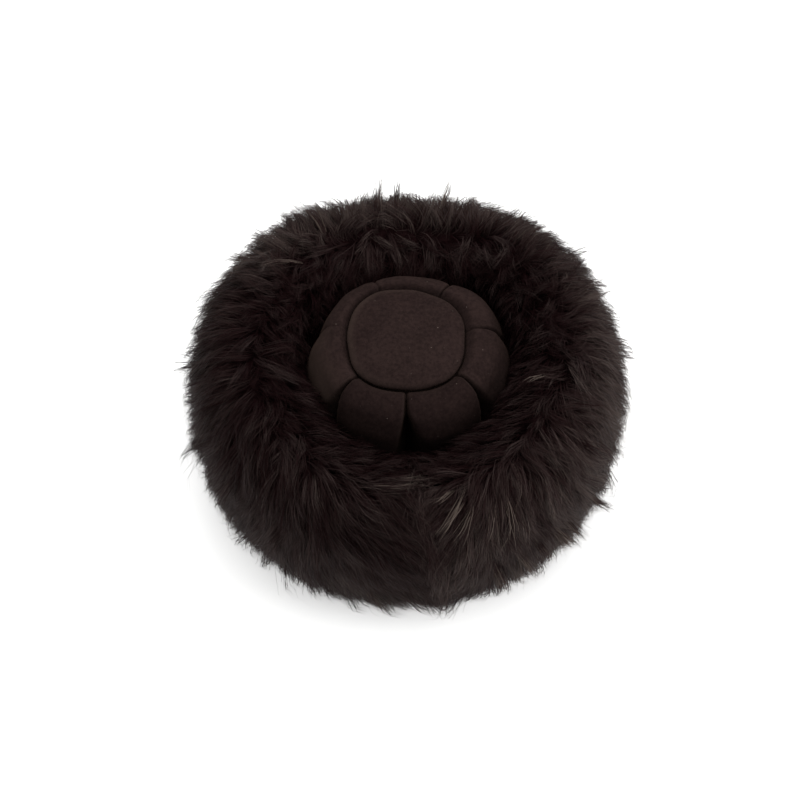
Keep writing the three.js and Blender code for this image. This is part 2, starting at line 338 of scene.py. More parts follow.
def spline(before: Array, start: Array, end: Array, after: Array, share: Array) -> Array:
    """Points of a smooth curve between two of the points that it runs through.

    Args:
        before: The point before the start.
        start: The point that the curve comes from.
        end: The point that it goes to.
        after: The point after the end.
        share: How far along from the start, 0 to 1.

    Returns:
        The points.
    """
    f = share
    leave, arrive = (end - before) / 2, (after - start) / 2
    return (
        (2 * f**3 - 3 * f**2 + 1) * start
        + (f**3 - 2 * f**2 + f) * leave
        + (3 * f**2 - 2 * f**3) * end
        + (f**3 - f**2) * arrive
    )


def smooth_curves(points: Array, count: int, steps_between: int = 40) -> Array:
    """Runs smooth curves through points, evenly spaced along their length.

    Args:
        points: Control points, shaped (curves, points, 2).
        count: Points wanted on each curve.
        steps_between: Steps between two control points, for measuring the length.

    Returns:
        Points shaped (curves, count, 2).
    """
    last = points.shape[1] - 1
    t = np.linspace(0, last, steps_between * last + 1)
    i = np.minimum(t.astype(int), last - 1)
    four = (np.maximum(i - 1, 0), i, i + 1, np.minimum(i + 2, last))
    dense = spline(*(points[:, k] for k in four), (t - i)[:, None])
    steps = np.linalg.norm(np.diff(dense, axis=1), axis=2)
    run = np.concatenate([np.zeros((len(points), 1)), np.cumsum(steps, axis=1)], axis=1)
    wanted = np.linspace(0, 1, count)
    curves = [
        np.stack([np.interp(wanted * r[-1], r, c[:, k]) for k in (0, 1)], axis=-1)
        for r, c in zip(run, dense)
    ]
    return np.stack(curves)


def slopes(curves: Array) -> Array:
    """Unit tangents along curves shaped (curves, count, 2)."""
    step = np.gradient(curves, axis=1)
    return step / np.linalg.norm(step, axis=2, keepdims=True)


@dataclass(frozen=True)
class CrownForm:
    """The crown's main form, from its disc down to the hem inside the band."""

    head_radius: float = 94.0
    disc_radius: float = 36.2
    disc_corners: float = 0.07  # how much further the disc reaches between its four sides
    disc_flat_at: float = 150.0  # the azimuth where a corner is cut back
    disc_flat_width: float = 22.0
    disc_height: float = 123.0
    allowance: float = 5.0  # of each gore, turned in under the disc
    tuck: float = 4.5
    samples: int = 401
    roundness: float = 3.5
    tight: float = 1.6  # how far from a seam its crease starts by the disc
    crease_power: float = 1.1  # 1 for a crease with a sharp edge, and more for a softer one
    slack_power: float = 1.7
    sinks_over: Span = (0.02, 0.34)
    flat_over: Span = (0.42, 0.66)
    flat_behind_fur: float = 0.9
    opens_over: Span = (0.12, 0.42)

    def gore_at(self, azimuth: Array) -> tuple[Array, Array]:
        """The gore at each azimuth, and u from -1 at its first seam to 1 at its second."""
        seams = np.array([gore.seam for gore in GORES] + [360])
        turn = np.mod(azimuth, 360)
        index = np.clip(np.searchsorted(seams, turn, side="right") - 1, 0, len(GORES) - 1)
        return index, 2 * (turn - seams[index]) / (seams[index + 1] - seams[index]) - 1

    def reach(self, index: Array, u: Array) -> Array:
        """The shoulder's reach across a gore, easing to the neighbours' mean at the seams."""
        reaches = np.array([gore.reach for gore in GORES])
        side = reaches[(index + np.sign(u).astype(int)) % len(GORES)]
        mean = (reaches[index] + side) / 2
        return mean + (reaches[index] - mean) * np.cos(u * math.pi / 2)

    def disc_share(self, azimuth: Array) -> Array:
        """How far the disc reaches, as a share of its radius: it is cut a little square."""
        corners = self.disc_corners * (1 - np.cos(4 * np.radians(azimuth))) / 2
        away = np.mod(azimuth, 360) - self.disc_flat_at
        return 1 + corners - self.disc_corners * bell(away, self.disc_flat_width)

    def sections(self, reach: Array, azimuth: Array) -> Array:
        """The crown's sections for some reaches.

        Args:
            reach: Reach of each section.
            azimuth: Azimuth of each section.

        Returns:
            Even points (radius, height) from under the disc down to the hem.
        """
        edge = self.disc_radius * self.disc_share(azimuth)
        low = self.disc_height - self.tuck
        rows = [(edge - self.allowance, low), (edge, low)]
        for point in CROWN_SECTION:
            inner, outer = (edge, reach) if point.across < 1 else (reach, self.head_radius)
            share = point.across if point.across < 1 else point.across - 1
            rows.append((inner + (outer - inner) * share, point.z))
        points = [np.stack([r, np.full_like(reach, z)], axis=-1) for r, z in rows]
        return smooth_curves(np.stack(points, axis=1), self.samples)

    def depth(
        self, v: Array, u: Array, away: Array, crease: Array, opens: Array, power: Array
    ) -> Array:
        """How far the suede lies under the crown's main form.

        Args:
            v: Place down the section.
            u: Place across the gore.
            away: Distance from the nearer seam.
            crease: How deep that seam is.
            opens: How far from the seam its crease starts, where it is widest.
            power: How soft the crease's edge is.

        Returns:
            The depth: each gore is round across, and its seams open out below the disc.
        """
        flat = 1 - self.flat_behind_fur * smoothstep(v, *self.flat_over)
        sinks = smoothstep(v, *self.sinks_over) * flat
        wide = self.tight + (opens - self.tight) * smoothstep(v, *self.opens_over)
        fold = sinks * crease * np.clip(1 - away / wide, 0, 1) ** power
        return sinks * self.roundness * np.abs(u) ** 3 + fold


class FurForm:
    """The outer form of the dense fur, as a surface with a place, an azimuth and a rise."""

    rows = 241
    turns = 361

    def __init__(self, crown: CrownForm, axis: Vector) -> None:
        """Works out the surface's table.

        Args:
            crown: The crown that the fur stands round.
            axis: The crown's axis in the frame, in millimetres.
        """
        self.axis = np.array(axis[:2])
        azimuth = np.linspace(0, 360, self.turns)
        shift = crown.reach(*crown.gore_at(azimuth)) - GORES[1].reach
        opens, rises, spreads = self._changes(azimuth).T
        points = []
        for p in FUR_SECTION:
            r = p.r + p.follows * shift + p.opens * opens + p.spreads * spreads
            points.append(np.stack([r, p.z + p.rises * rises], axis=-1))
        self.curve = smooth_curves(np.stack(points, axis=1), self.rows)
        self.tangent = slopes(self.curve)
        self.length = np.linalg.norm(np.diff(self.curve, axis=1), axis=2).sum(axis=1)

    def _changes(self, azimuth: Array) -> Array:
        """The section's changes at some azimuths, shaped (azimuths, 3)."""
        changes = np.array(FUR_ROUND, dtype=float)
        count = len(changes)
        t = np.mod(azimuth, 360) / 360 * count
        i = t.astype(int) % count
        four = (changes[(i + k) % count] for k in (-1, 0, 1, 2))
        return spline(*four, (t - np.floor(t))[:, None])

    def _look_up(self, table: Array, place: Array, azimuth: Array) -> Array:
        """Interpolates a table over the azimuths and places."""
        column = np.mod(azimuth, 360) / 360 * (self.turns - 1)
        i = np.minimum(column.astype(int), self.turns - 2)
        row = np.clip(place, 0, 1) * (self.rows - 1)
        j = np.minimum(row.astype(int), self.rows - 2)
        f, g = (column - i)[..., None], (row - j)[..., None]
        near = table[i, j] * (1 - g) + table[i, j + 1] * g
        far = table[i + 1, j] * (1 - g) + table[i + 1, j + 1] * g
        return near * (1 - f) + far * f

    def span(self, azimuth: Array) -> Array:
        """The section's length at some azimuths."""
        return np.interp(np.mod(azimuth, 360), np.linspace(0, 360, self.turns), self.length)

    def radius(self, place: Array, azimuth: Array) -> Array:
        """The surface's radius about the crown's axis."""
        return self._look_up(self.curve, place, azimuth)[..., 0]

    def at(self, place: Array, azimuth: Array, rise: Array) -> tuple[Array, Array]:
        """Points over the surface.

        Args:
            place: Place on the fur. Past the lip and the hem it runs on in a line.
            azimuth: Degrees from the front.
            rise: Millimetres out of the surface.

        Returns:
            The points, and the surface's outward normals there.
        """
        base = self._look_up(self.curve, place, azimuth)
        slope = self._look_up(self.tangent, place, azimuth)
        past = ((place - np.clip(place, 0, 1)) * self.span(azimuth))[..., None]
        out = np.stack([-slope[..., 1], slope[..., 0]], axis=-1)
        flat = base + slope * past + out * np.asarray(rise)[..., None]
        angle = np.radians(azimuth)
        points = turned(self.axis, flat[..., 0], flat[..., 1], angle)
        return points, turned((0, 0), out[..., 0], out[..., 1], angle)


class Finish:
    """A material built from nodes, with one function that adds and links a node."""

    name = "finish"

    def __init__(self) -> None:
        """Makes the material with an empty shader."""
        self.material = bpy.data.materials.new(self.name)
        self.material.use_nodes = True
        self.tree = self.material.node_tree
        self.tree.nodes.clear()
        self.shader = self.add("ShaderNodeBsdfPrincipled")
        self.add("ShaderNodeOutputMaterial", links={"Surface": self.shader.outputs["BSDF"]})
        self.build()

    def add(self, kind: str, links: dict | None = None, values: dict | None = None, **settings):
        """Adds a node.

        Args:
            kind: The node's type.
            links: Output sockets by the name or index of the input that they feed.
            values: Values by the name or index of the input that takes them.
            settings: The node's own settings.

        Returns:
            The node.
        """
        node = self.tree.nodes.new(kind)
        for key, value in settings.items():
            setattr(node, key, value)
        for key, value in (values or {}).items():
            node.inputs[key].default_value = value
        for key, socket in (links or {}).items():
            self.tree.links.new(socket, node.inputs[key])
        return node

    def place(self) -> Socket:
        """The place on the object."""
        return self.add("ShaderNodeTexCoord").outputs["Object"]

    def attribute(self, name: str) -> Socket:
        """An attribute of the mesh."""
        return self.add("ShaderNodeAttribute", attribute_name=name).outputs["Fac"]

    def noise(self, size: float, detail: float, roughness: float = 0.5) -> Socket:
        """Noise with grains of a size in millimetres."""
        values = {"Scale": 1 / (size * MM), "Detail": detail, "Roughness": roughness}
        return self.add("ShaderNodeTexNoise", {"Vector": self.place()}, values).outputs["Fac"]

    def ramp(self, value: Socket, span: Span, top: float = 1.0) -> Socket:
        """Turns values over a span into 0 to top."""
        values = {"From Min": span[0], "From Max": span[1], "To Max": top}
        return self.add("ShaderNodeMapRange", {"Value": value}, values).outputs["Result"]

    def mix(self, factor: Socket, start: Socket | str, end: Socket | str) -> Socket:
        """Mixes two colours.

        Args:
            factor: 0 for the first colour and 1 for the second.
            start: The first colour, as a socket or in hex.
            end: The second colour.

        Returns:
            The mixed colour.
        """
        links, values = {"Factor": factor}, {}
        for key, colour in ((6, start), (7, end)):
            if isinstance(colour, str):
                values[key] = linear(colour)
            else:
                links[key] = colour
        return self.add("ShaderNodeMix", links, values, data_type="RGBA").outputs[2]

    def bump(self, height: Socket, strength: float, distance: float) -> None:
        """Gives the shader low relief, so many millimetres deep."""
        values = {"Strength": strength, "Distance": distance * MM}
        relief = self.add("ShaderNodeBump", {"Height": height}, values)
        self.tree.links.new(relief.outputs["Normal"], self.shader.inputs["Normal"])

    def coat(self, colour: Socket | str, **uniform: float | str) -> None:
        """Sets the shader.

        Args:
            colour: The base colour, as a socket or in hex.
            uniform: Plain numbers, and colours in hex, by the shader's own names for them.
        """
        if isinstance(colour, str):
            uniform["Base_Color"] = colour
        else:
            self.tree.links.new(colour, self.shader.inputs["Base Color"])
        for key, value in uniform.items():
            plain = linear(value) if isinstance(value, str) else value
            self.shader.inputs[key.replace("_", " ")].default_value = plain

    def build(self) -> None:
        """Adds the finish's own nodes."""


class BrushedSuede(Finish):
    """Split hide with a short brushed nap, puffed over a soft fleece.

    The eye sees a matt, mottled dark brown with a few specks of pale lint. Its paler rims at the
    disc's edge and along the seams are painted highlight, some gores are paler all over by painted
    light, and the grooves, the creases and the front gores low down are darker by painted shade.
    """

    name = "brushed_suede"
    deep = "#1f1615"
    wear_and_light = "#2b201e"
    # Painted highlight and painted light, mixed in by the nap attribute.
    painted_light_colour = "#40342f"
    # Painted shade, mixed in by the shade attribute in the grooves, the creases and low in front.
    fold = "#080202"
    lint = "#9a8d84"
    sheen = "#c09a84"
    mottle_mm = 22.0
    brush_mm = 2.4
    grain_mm = 0.9  # the nap's own 0.2 mm, drawn as coarse as it shows
    lint_mm = 5.5
    brushed = 0.7  # how far brush marks outweigh the mottle
    tones = (0.4, 0.6)
    speck = (0.06, 0.03)  # from a speck's edge to its middle, in cells
    lands = (0.25, 1.2)  # which cells hold lint

    def build(self) -> None:
        """Lays mottle, brush marks, painted highlight and light, lint and painted shade over a fine grain.
        """
        mottle = self.noise(self.mottle_mm, 3.0, 0.6)
        brush = self.noise(self.brush_mm, 4.0, 0.7)
        mixed = self.add(
            "ShaderNodeMix", {"A": mottle, "B": brush}, {"Factor": self.brushed}, data_type="FLOAT"
        )
        cloth = self.mix(self.ramp(mixed.outputs["Result"], self.tones), self.deep, self.wear_and_light)
        # The nap attribute paints highlight on the rims and light over some gores.
        lit_cloth = self.mix(self.attribute("nap"), cloth, self.painted_light_colour)
        cells = self.add(
            "ShaderNodeTexVoronoi",
            {"Vector": self.place()},
            {"Scale": 1 / (self.lint_mm * MM), "Randomness": 1.0},
        )
        near = self.ramp(cells.outputs["Distance"], self.speck)
        cell = self.add("ShaderNodeSeparateColor", {"Color": cells.outputs["Color"]})
        few = self.ramp(cell.outputs["Red"], self.lands)
        lint = self.add("ShaderNodeMath", {0: near, 1: few}, operation="MULTIPLY")
        dusted = self.mix(lint.outputs["Value"], lit_cloth, self.lint)
        shaded_cloth = self.mix(self.attribute("shade"), dusted, self.fold)
        self.bump(self.noise(self.grain_mm, 3.0, 0.65), 0.5, 0.25)
        self.coat(
            shaded_cloth,
            Roughness=0.95,
            Specular_IOR_Level=0.04,
            Sheen_Weight=0.03,
            Sheen_Roughness=0.4,
            Sheen_Tint=self.sheen,
        )


class LongFur(Finish):
    """Dyed long-haired fur, as fox or raccoon is.

    The eye sees silky hair that is nearly black at the root and warm brown grey at the tip, in
    streaks that shine along their length. Its dark towards the root is partly dye and partly
    painted shade of the coat's depth.
    """

    name = "long_fur"
    root = "#110406"
    shade = "#190a0c"
    middle = "#231617"
    tip = "#4d4441"
    pale = "#74695f"
    gloss = "#d8b4a8"
    # The highest tones come from the tufts, random tone and the painted light on the hair, and turn pale.
    pale_tones = (0.75, 1.1)  # the tones over which a hair turns pale
    pale_most = 0.65

    def build(self) -> None:
        """Shades each hair by how far along a point is and by its tone: its own, plus painted light and
        shade.
        """
        along, tone = self.attribute("fur_along"), self.attribute("fur_tone")
        dark = self.mix(along, self.root, self.shade)
        hair = self.mix(tone, dark, self.mix(along, self.middle, self.tip))
        lit = self.mix(self.ramp(tone, self.pale_tones, self.pale_most), hair, self.pale)
        self.coat(lit, Roughness=0.5, Specular_IOR_Level=0.09, Specular_Tint=self.gloss)


class Underfur(Finish):
    """Dense woolly underfur on a dyed skin, which shows as near black between the locks."""

    name = "underfur"
    deep = "#100405"
    lifted = "#1c0a0b"
    wool_mm = 2.5

    def build(self) -> None:
        """Breaks the dark up with fine woolly noise."""
        wool = self.noise(self.wool_mm, 4.0)
        self.bump(wool, 0.8, 1.0)
        self.coat(self.mix(wool, self.deep, self.lifted), Roughness=0.95, Specular_IOR_Level=0.1)


class PaleFloor(Finish):
    """A matt white acrylic table, lit softly from below as for product pictures.

    The eye sees a white ground on which the hat's shadow is faint and soft.
    """

    name = "pale_floor"
    colour = "#f6f6f5"
    light = "#ffffff"
    glow = 0.45

    def build(self) -> None:
        """Sets the plain colour and its glow."""
        self.coat(
            self.colour,
            Emission_Color=self.light,
            Emission_Strength=self.glow,
            Roughness=0.9,
            Specular_IOR_Level=0.1,
        )


def mesh_of(shape: bmesh.types.BMesh, name: str) -> bpy.types.Mesh:
    """Turns a shape's faces outwards, smooths it and makes it a mesh.

    Args:
        shape: The shape, which is freed.
        name: The mesh's name.

    Returns:
        The mesh.
    """
    bmesh.ops.recalc_face_normals(shape, faces=shape.faces)
    for face in shape.faces:
        face.smooth = True
    mesh = bpy.data.meshes.new(name)
    shape.to_mesh(mesh)
    shape.free()
    return mesh


def piece_of(mesh: bpy.types.Mesh, finish: Finish, node: str) -> bpy.types.Object:
    """Puts a finished mesh into the scene as a piece that stands for a CAD node.

    Args:
        mesh: The mesh, in metres and in place. The piece takes its name.
        finish: Its finish.
        node: The CAD node that it replaces.

    Returns:
        The piece.
    """
    piece = bpy.data.objects.new(mesh.name, mesh)
    bpy.context.scene.collection.objects.link(piece)
    mesh.materials.append(finish.material)
    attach(piece, "root")
    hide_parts(node)
    log.info("%s: %d faces", mesh.name, len(mesh.polygons))
    return piece


class GoreGrid(NamedTuple):
    """Places on a gore's main form, and what the nearer seam is like there.

    across: 0 at the first seam and 1 at the second. v: place down the crown. base and lean:
    the section's point and direction. away: distance from the nearer seam. wide: how far
    that seam's crease reaches here. slack: on the right side of the front seam, where the
    suede falls in softly.
    """

    across: Array
    v: Array
    base: Array
    lean: Array
    away: Array
    crease: Array
    opens: Array
    shows: Array
    wide: Array
    slack: Array


@dataclass
class SuedeCrown:
    """The crown: a puffed disc, and seven puffed gores that are sewn to it and to each other."""

    form: CrownForm
    axis: Vector
    suede: float = 3.0
    overlap: float = 0.12  # of two gores, so that no light shows through their seam
    columns: int = 44
    rows: int = 90
    crowding: float = 1.5
    disc_steps: int = 144
    merge: float = 0.02
    hand_cut: tuple = ((0.006, 7, 1.0), (0.004, 11, 0.0))  # share, waves round, start
    dimple: float = 0.4
    dimple_sizes: Span = (16.0, 6.0)
    # The disc's rim takes a painted highlight, palest at this angle and over its outer edge.
    disc_lit_from: float = -0.5 * math.pi - 0.3  # the angle where its edge is palest
    disc_edge: Span = (0.86, 1.0)
    disc_nap: Span = (0.02, 0.45)
    seam_roll: float = 1.3
    seam_roll_width: float = 1.1
    undulation: float = 1.0
    undulation_sizes: Span = (24.0, 9.0)
    # The painted highlight along a crease's rim.
    nap_band: tuple[float, float, float] = (0.22, 1.3, 0.8)  # strength, distance and width
    groove: float = 0.9
    groove_width: float = 0.6
    # Creases deeper than these take painted shade with a hard edge, and fully dark.
    sharp_crease: float = 20.0  # creases deeper than this have a hard edge
    full_crease: float = 12.0  # creases deeper than this are quite dark inside
    slack_shade: float = 0.85
    front_shade: float = 0.35
    # Shares of the crease's width, from its rim inwards, over which painted shade darkens it.
    sharp_edge: Span = (0.0, 0.16)
    soft_edge: Span = (0.45, 1.0)
    slack_edge: Span = (0.3, 1.4)
    # Places down the crown over which each thing starts or, for the last, ends.
    roll_over: Span = (0.01, 0.07)
    groove_over: Span = (0.02, 0.06)
    front_over: Span = (0.03, 0.1)
    highlight_over: Span = (0.04, 0.1)
    painted_light_over: Span = (0.1, 0.3)
    fold_over: Span = (0.13, 0.2)
    slack_over: Span = (0.14, 0.3)
    low_over: Span = (0.26, 0.42)
    waves_over: Span = (0.03, 0.12)
    waves_off_seam: Span = (0.5, 8.0)
    waves_end: Span = (0.5, 0.62)

    def build(self, finish: Finish) -> list[bpy.types.Object]:
        """Makes the disc and the gores.

        Args:
            finish: The suede.

        Returns:
            The pieces.
        """
        pieces = [self._disc(finish)]
        pieces += [self._gore(index, finish) for index in range(len(GORES))]
        return pieces

    def _disc(self, finish: Finish) -> bpy.types.Object:
        """Spins the disc's rolled section, then lets its edge and top wander a little."""
        shape = bmesh.new()
        centre = self.axis * MM
        line = [shape.verts.new((centre.x + r * MM, centre.y, z * MM)) for r, z in self._disc_section()]
        edges = [shape.edges.new(pair) for pair in zip(line, line[1:])]
        bmesh.ops.spin(
            shape,
            geom=line + edges,
            cent=centre,
            axis=(0, 0, 1),
            angle=2 * math.pi,
            steps=self.disc_steps,
            use_merge=True,
        )
        bmesh.ops.remove_doubles(shape, verts=shape.verts, dist=self.merge * MM)
        # The nap attribute holds painted highlight.
        nap = shape.verts.layers.float.new("nap")
        coarse, fine = (size * MM for size in self.dimple_sizes)
        for vert in shape.verts:
            flat = Vector((vert.co.x - centre.x, vert.co.y - centre.y))
            turn = math.atan2(flat.x, -flat.y)
            share = flat.length / MM / self.form.disc_radius
            square = float(self.form.disc_share(np.array(math.degrees(turn)))) - 1
            cut = sum(part * math.sin(count * turn + start) for part, count, start in self.hand_cut)
            wave = noise.noise(vert.co / coarse) + 0.5 * noise.noise(vert.co / fine)
            vert.co += Vector((flat.x, flat.y, 0)) * (square + cut * share)
            vert.co.z += self.dimple * wave * MM * (1 - 0.6 * share**4)
            # Painted highlight: the rim is paler on the side that faces the light, at disc_lit_from.
            lit = 0.5 + 0.5 * math.cos(turn - self.disc_lit_from)
            edge = float(smoothstep(np.array(share), *self.disc_edge))
            vert[nap] = edge * (self.disc_nap[0] + self.disc_nap[1] * lit**2)
        return piece_of(mesh_of(shape, "crown_disc_suede"), finish, "crown_disc")

    def _disc_section(self) -> Array:
        """The disc's closed section from its top middle over the rolled rim to below."""
        scale, lift = (self.form.disc_radius, 1), (0, self.form.disc_height)
        top = [(0, 7), (0.45, 6.5), (0.78, 5.1), (0.94, 3.4), (1.005, 1.6), (1.025, 0), (1.01, -1.9)]
        under = [(0.95, -2.6), (0.6, 0.3), (0.0, 3.4)]
        upper = smooth_curves((np.array(top) * scale + lift)[None], 40)[0]
        return np.concatenate([upper, np.array(under) * scale + lift])

    def _gore(self, index: int, finish: Finish) -> bpy.types.Object:
        """Bends a grid over the crown's form and gives it its wall."""
        shape = bmesh.new()
        bmesh.ops.create_grid(shape, x_segments=self.columns, y_segments=self.rows, size=1.0)
        flat = np.array([vert.co for vert in shape.verts])
        grid = self._grid(index, flat)
        outer = self._points(index, grid, 0.0)
        inner = self._points(index, grid, self.suede)
        # nap holds painted highlight and painted light, and shade holds painted shade.
        light_layer = shape.verts.layers.float.new("nap")
        shade_layer = shape.verts.layers.float.new("shade")
        front = list(shape.verts)
        wall = bmesh.ops.extrude_face_region(shape, geom=list(shape.faces), use_keep_orig=True)
        back = [item for item in wall["geom"] if isinstance(item, bmesh.types.BMVert)]
        lookup = {tuple(np.round(point, 6)): i for i, point in enumerate(flat)}
        for vert in back:
            vert.co = inner[lookup[tuple(np.round(np.array(vert.co), 6))]] * MM
        looks = zip(front, outer, self._nap(index, grid), self._shade(index, grid))
        for vert, point, nap, shade in looks:
            vert.co = point * MM
            vert[light_layer] = nap
            vert[shade_layer] = shade
        name = f"crown_gore_{GORES[index].name}"
        return piece_of(mesh_of(shape, f"{name}_suede"), finish, name)

    def _ends(self, index: int) -> Span:
        """The azimuths of a gore's two seams."""
        return GORES[index].seam, GORES[index + 1].seam if index + 1 < len(GORES) else 360

    def _grid(self, index: int, flat: Array) -> GoreGrid:
        """Places a grid on a gore.

        Args:
            index: The gore.
            flat: Flat points from -1 to 1 across (x) and down (y).

        Returns:
            The places.
        """
        gore, after = GORES[index], GORES[(index + 1) % len(GORES)]
        start, end = self._ends(index)
        across = (np.sin(flat[:, 0] * math.pi / 2) + 1) / 2
        u = 2 * across - 1
        v = np.clip((0.5 - flat[:, 1] / 2), 0, 1) ** self.crowding
        levels, column = np.unique(np.round(u, 6), return_inverse=True)
        turns = start + (end - start) * (levels + 1) / 2
        curves = self.form.sections(self.form.reach(np.full(levels.shape, index), levels), turns)
        row = v * (self.form.samples - 1)
        j = np.minimum(row.astype(int), self.form.samples - 2)
        g = (row - j)[:, None]
        base, lean = (c[column, j] * (1 - g) + c[column, j + 1] * g for c in (curves, slopes(curves)))
        opens = np.where(u < 0, gore.after, after.before)
        return GoreGrid(
            across=across,
            v=v,
            base=base,
            lean=lean,
            away=np.minimum(across, 1 - across) * math.radians(end - start) * base[:, 0],
            crease=np.where(u < 0, gore.crease, after.crease),
            opens=opens,
            shows=np.where(u < 0, gore.shows, after.shows),
            wide=opens * smoothstep(v, *self.form.opens_over),
            slack=(gore.seam == 0) & (u < 0),
        )

    def _points(self, index: int, grid: GoreGrid, under: float) -> Array:
        """Points of a gore's wall in millimetres, so far under its outer face."""
        start, end = self._ends(index)
        v, away, lean = grid.v, grid.away, grid.lean
        power = np.where(grid.slack, self.form.slack_power, self.form.crease_power)
        crease = grid.crease * grid.shows
        depths = self.form.depth(v, 2 * grid.across - 1, away, crease, grid.opens, power)
        if under == 0:
            show = grid.shows * smoothstep(v, *self.roll_over)
            depths += self.seam_roll * show * bell(away, self.seam_roll_width)
        else:
            depths += under
        flat = grid.base - np.stack([-lean[:, 1], lean[:, 0]], axis=-1) * depths[:, None]
        half = -np.degrees(self.overlap / 2 / flat[:, 0])
        azimuth = np.radians(start + half + (end - start - 2 * half) * grid.across)
        points = turned(self.axis, flat[:, 0], flat[:, 1], azimuth)
        coarse, fine = self.undulation_sizes
        wave = waves(points, coarse) + 0.4 * waves(points, fine)
        rough = smoothstep(away, *self.waves_off_seam) * smoothstep(v, *self.waves_over)
        rough = rough * (1 - smoothstep(v, *self.waves_end))
        out = turned((0, 0), -lean[:, 1], lean[:, 0], azimuth)
        return points + out * (self.undulation * wave * rough)[:, None]

    def _nap(self, index: int, grid: GoreGrid) -> Array:
        """How much painted light each place takes: a highlight along a crease's rim, and a lift over some
        gores.
        """
        strength, distance, width = self.nap_band
        rolled = np.where(grid.slack, 0.0, strength) * grid.shows
        nap = rolled * bell(grid.away - grid.wide - distance, width)
        nap = nap * smoothstep(grid.v, *self.highlight_over)
        return np.maximum(nap, GORES[index].wear_and_light * smoothstep(grid.v, *self.painted_light_over))

    def _shade(self, index: int, grid: GoreGrid) -> Array:
        """How much painted shade each place takes: in the seams' grooves, in the creases and low in front.
        """
        v, away, wide = grid.v, grid.away, grid.wide
        groove = grid.shows * bell(away, self.groove_width) * smoothstep(v, *self.groove_over)
        inside = np.clip(1 - away / (wide + 0.1), 0, 1)
        sharp = (grid.crease > self.sharp_crease) & ~grid.slack
        edges = (smoothstep(inside, *edge) for edge in (self.sharp_edge, self.soft_edge))
        fold = np.where(sharp, *edges) * np.clip(grid.crease / self.full_crease, 0, 1)
        fold *= grid.shows * smoothstep(v, *self.fold_over)
        near, far = self.slack_edge
        soft = 1 - smoothstep(away, near * wide, far * wide + 0.1)
        soft = soft * smoothstep(v, *self.slack_over)
        fold = np.where(grid.slack, np.maximum(self.slack_shade * soft, fold), fold)
        shade = np.maximum(self.groove * groove, fold)
        low = GORES[index].low
        if low:
            front = self.front_shade * smoothstep(v, *self.front_over)
            shade = np.maximum(shade, front + low * smoothstep(v, *self.low_over))
        return shade


@dataclass
class UnderCoat:
    """The dense fur between the hairs, on its leather back, closed and flat on the floor."""

    form: FurForm
    crown: CrownForm
    sink: float = 8.0
    clear: float = 1.1  # from the suede's main form
    columns: int = 180
    rows: int = 44
    inner_rows: int = 8
    inner_top: float = 88.0
    wool: float = 1.5
    wool_mm: float = 9.0
    first_sample: int = 120  # of the crown's section, past its shoulder

    def build(self, finish: Finish) -> bpy.types.Object:
        """Spins a ring of faces and moves it to the fur's form.

        Args:
            finish: The underfur.

        Returns:
            The piece.
        """
        shape = bmesh.new()
        rows = self.rows + self.inner_rows
        loop = [shape.verts.new((1 + i / rows, 0, 0)) for i in range(rows)]
        edges = [shape.edges.new((loop[i], loop[(i + 1) % rows])) for i in range(rows)]
        bmesh.ops.spin(
            shape,
            geom=loop + edges,
            cent=(0, 0, 0),
            axis=(0, 0, 1),
            angle=2 * math.pi,
            steps=self.columns,
            use_merge=True,
        )
        turns = np.array([math.degrees(math.atan2(v.co.x, -v.co.y)) % 360 for v in shape.verts])
        row = np.array([round((v.co.length - 1) * rows) for v in shape.verts])
        for vert, point in zip(shape.verts, self._points(row, turns)):
            vert.co = point * MM
        return piece_of(mesh_of(shape, "fur_underfur"), finish, "fur_band")

    def _points(self, row: Array, turns: Array) -> Array:
        """Points for the rows: up the crown's back, over the fur and down to the floor."""
        place = np.clip((row - self.inner_rows) / (self.rows - 1), 0, 1)
        points, normals = self.form.at(place, turns, np.full(len(row), -self.sink))
        points += normals * (self.wool * waves(points, self.wool_mm))[:, None]
        points[:, 2] = np.maximum(points[:, 2], 0)
        points[row == self.inner_rows + self.rows - 1, 2] = 0
        inner = row < self.inner_rows
        sections = self.crown.sections(self.crown.reach(*self.crown.gore_at(turns[inner])), turns[inner])
        height = self.inner_top * row[inner] / (self.inner_rows - 1)
        lower = sections[:, self.first_sample :]
        radius = np.array([np.interp(-h, -s[:, 1], s[:, 0]) for h, s in zip(height, lower)])
        points[inner] = turned(self.form.axis, radius + self.clear, height, np.radians(turns[inner]))
        return points


class Side(Enum):
    """The fur's pieces: the roll against the crown, and the four sides outside it."""

    ROLL = "roll"
    FRONT = "front"
    RIGHT = "right"
    BACK = "back"
    LEFT = "left"


